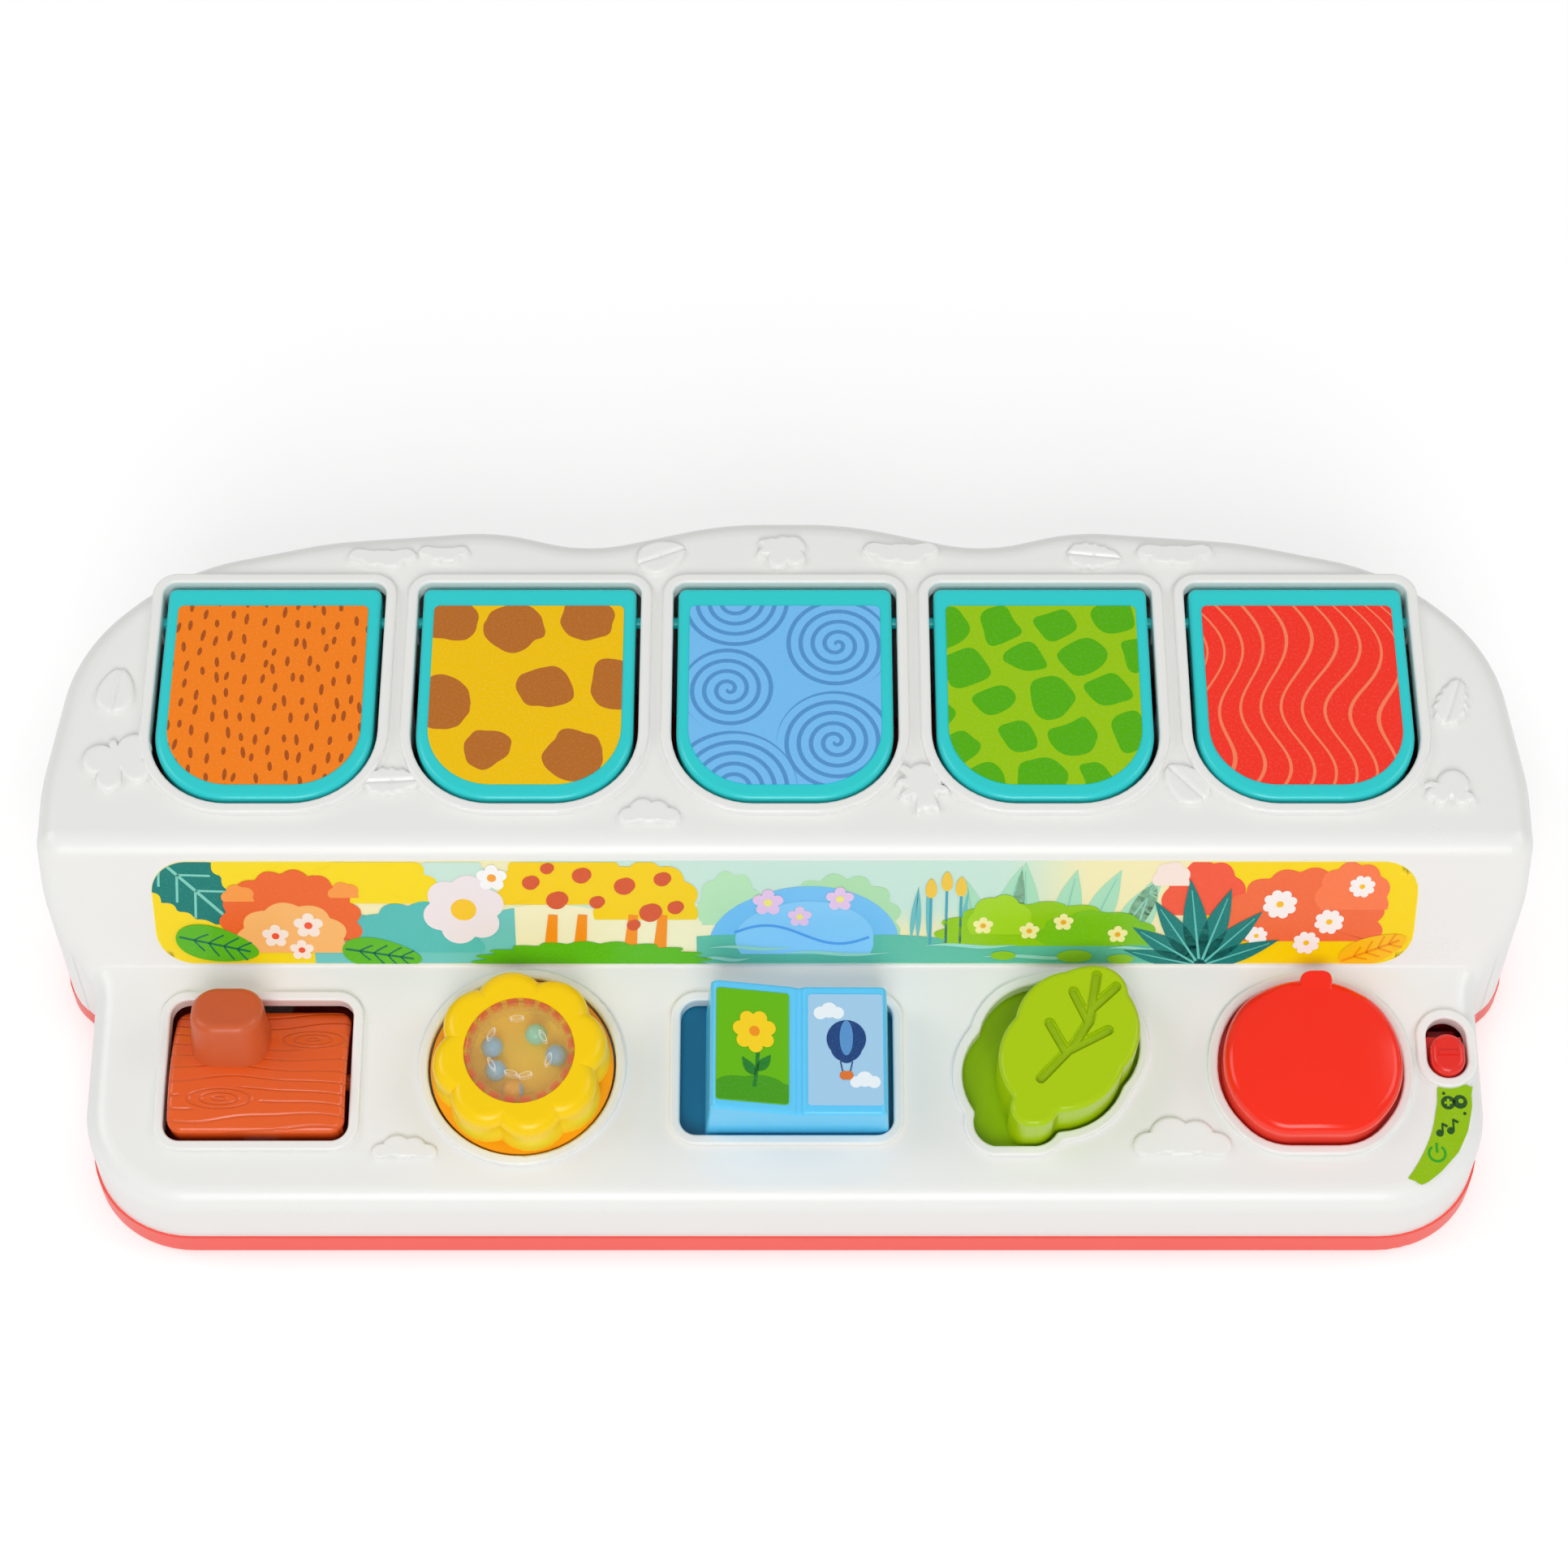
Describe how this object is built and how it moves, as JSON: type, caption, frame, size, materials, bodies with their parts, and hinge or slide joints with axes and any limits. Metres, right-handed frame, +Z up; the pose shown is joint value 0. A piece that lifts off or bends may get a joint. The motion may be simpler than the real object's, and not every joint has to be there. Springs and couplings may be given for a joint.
{
  "type": "pop up animal toy",
  "caption": "Two-step musical toy whose row of hinged lids hides animals, each freed by its own lever, dial, slider or button on the lower step.",
  "frame": {"origin": "middle of the footprint, on the surface the toy stands on", "axes": "+Z up, +X along the row of lids to the right of the child, who sits at -Y"},
  "size_m": [0.3544, 0.1662, 0.0729],
  "materials": {
    "casing_white": "satin",
    "base_red": "satin",
    "lid_teal": "satin",
    "label_print": "printed, laminated",
    "figure_orange": "satin",
    "figure_yellow": "satin",
    "figure_blue": "satin",
    "figure_green": "satin",
    "figure_red": "satin",
    "latch_white": "natural",
    "log_orange": "satin",
    "flower_yellow": "satin",
    "dish_amber": "satin",
    "window_clear": "clear acrylic",
    "beads": "gloss",
    "book_blue": "satin",
    "plate_blue": "satin",
    "leaf_green": "satin",
    "plate_green": "satin",
    "apple_red": "satin",
    "switch_red": "satin",
    "steel": "plated",
    "cell_case": "gloss",
    "board_green": "satin",
    "speaker_black": "matte",
    "pad_rubber": "matte"
  },
  "bodies": {
    "case": {"top_casing": "casing_white", "base_tray": "base_red", "fascia_label": "label_print", "mode_label": "label_print", "battery_door": "base_red", "battery_screw": "steel", "case_screws": "steel", "battery_cells": "cell_case", "battery_contacts": "steel", "speaker": "speaker_black", "circuit_board": "board_green", "slide_switch": "steel", "foot_pads": "pad_rubber", "log_bearings": "latch_white", "dial_bearing": "latch_white", "book_rails": "latch_white", "leaf_rails": "latch_white", "button_bridge": "latch_white", "button_spring": "steel"},
    "door_1": {"door_lid_1": "lid_teal", "door_label_1": "label_print", "figure_monkey": "figure_orange"},
    "door_2": {"door_lid_2": "lid_teal", "door_label_2": "label_print", "figure_giraffe": "figure_yellow"},
    "door_3": {"door_lid_3": "lid_teal", "door_label_3": "label_print", "figure_elephant": "figure_blue"},
    "door_4": {"door_lid_4": "lid_teal", "door_label_4": "label_print", "figure_crocodile": "figure_green"},
    "door_5": {"door_lid_5": "lid_teal", "door_label_5": "label_print", "figure_fox": "figure_red"},
    "latch_1": {"latch_1": "latch_white"},
    "latch_2": {"latch_2": "latch_white"},
    "latch_3": {"latch_3": "latch_white"},
    "latch_4": {"latch_4": "latch_white"},
    "latch_5": {"latch_5": "latch_white"},
    "log": {"log_rocker": "log_orange", "log_knob": "log_orange"},
    "dial": {"flower_petals": "flower_yellow", "flower_dish": "dish_amber", "flower_window": "window_clear", "rattle_beads": "beads", "dial_retainer": "latch_white"},
    "book": {"book_block": "book_blue", "book_label_left": "label_print", "book_label_right": "label_print", "book_plate": "plate_blue"},
    "leaf": {"leaf_block": "leaf_green", "leaf_plate": "plate_green"},
    "apple": {"apple_button": "apple_red"},
    "switch": {"switch_knob": "switch_red"}
  },
  "joints": [
    {"name": "door_1_open", "type": "hinge", "parent": "case", "child": "door_1", "pos_m": [-0.124, 0.05366, 0.06624], "axis": [-1, 0, 0], "range_deg": [0, 95]},
    {"name": "door_2_open", "type": "hinge", "parent": "case", "child": "door_2", "pos_m": [-0.062, 0.05366, 0.06624], "axis": [-1, 0, 0], "range_deg": [0, 95]},
    {"name": "door_3_open", "type": "hinge", "parent": "case", "child": "door_3", "pos_m": [0, 0.05366, 0.06624], "axis": [-1, 0, 0], "range_deg": [0, 95]},
    {"name": "door_4_open", "type": "hinge", "parent": "case", "child": "door_4", "pos_m": [0.062, 0.05366, 0.06624], "axis": [-1, 0, 0], "range_deg": [0, 95]},
    {"name": "door_5_open", "type": "hinge", "parent": "case", "child": "door_5", "pos_m": [0.124, 0.05366, 0.06624], "axis": [-1, 0, 0], "range_deg": [0, 95]},
    {"name": "log_turn", "type": "hinge", "parent": "case", "child": "log", "pos_m": [-0.124, -0.05053, 0.02419], "axis": [1, 0, 0], "range_deg": [0, 22], "stiffness_Nm_per_rad": 0.15, "springref_deg": -6.88},
    {"name": "dial_turn", "type": "hinge", "parent": "case", "child": "dial", "pos_m": [-0.062, -0.04943, 0.02946], "axis": [0, 0.1736, -0.9848], "range_deg": [0, 30], "stiffness_Nm_per_rad": 0.1, "springref_deg": -6.88},
    {"name": "book_slide", "type": "slide", "parent": "case", "child": "book", "axis": [-1, 0, 0], "range_m": [0, 0.005], "stiffness_N_per_m": 150, "springref_m": -0.003},
    {"name": "leaf_slide", "type": "slide", "parent": "case", "child": "leaf", "axis": [-1, 0, 0], "range_m": [0, 0.007], "stiffness_N_per_m": 150, "springref_m": -0.003},
    {"name": "apple_press", "type": "slide", "parent": "case", "child": "apple", "axis": [0, 0.1736, -0.9848], "range_m": [0, 0.004], "stiffness_N_per_m": 400, "springref_m": -0.002, "deforming": ["button_spring"]},
    {"name": "switch_slide", "type": "slide", "parent": "case", "child": "switch", "axis": [0, 0.9848, 0.1736], "range_m": [0, 0.004]},
    {"name": "latch_1_slide", "type": "slide", "parent": "case", "child": "latch_1", "axis": [0, -1, 0], "range_m": [0, 0.003]},
    {"name": "latch_2_slide", "type": "slide", "parent": "case", "child": "latch_2", "axis": [0, -1, 0], "range_m": [0, 0.003]},
    {"name": "latch_3_slide", "type": "slide", "parent": "case", "child": "latch_3", "axis": [0, -1, 0], "range_m": [0, 0.003]},
    {"name": "latch_4_slide", "type": "slide", "parent": "case", "child": "latch_4", "axis": [0, -1, 0], "range_m": [0, 0.003]},
    {"name": "latch_5_slide", "type": "slide", "parent": "case", "child": "latch_5", "axis": [0, -1, 0], "range_m": [0, 0.003]}
  ],
  "couplings": [
    {"joint": "latch_1_slide", "follows": "log_turn", "m_per_rad": 0.007813},
    {"joint": "latch_2_slide", "follows": "dial_turn", "m_per_rad": 0.0057295},
    {"joint": "latch_3_slide", "follows": "book_slide", "ratio": 0.6},
    {"joint": "latch_4_slide", "follows": "leaf_slide", "ratio": 0.42857},
    {"joint": "latch_5_slide", "follows": "apple_press", "ratio": 0.75}
  ]
}
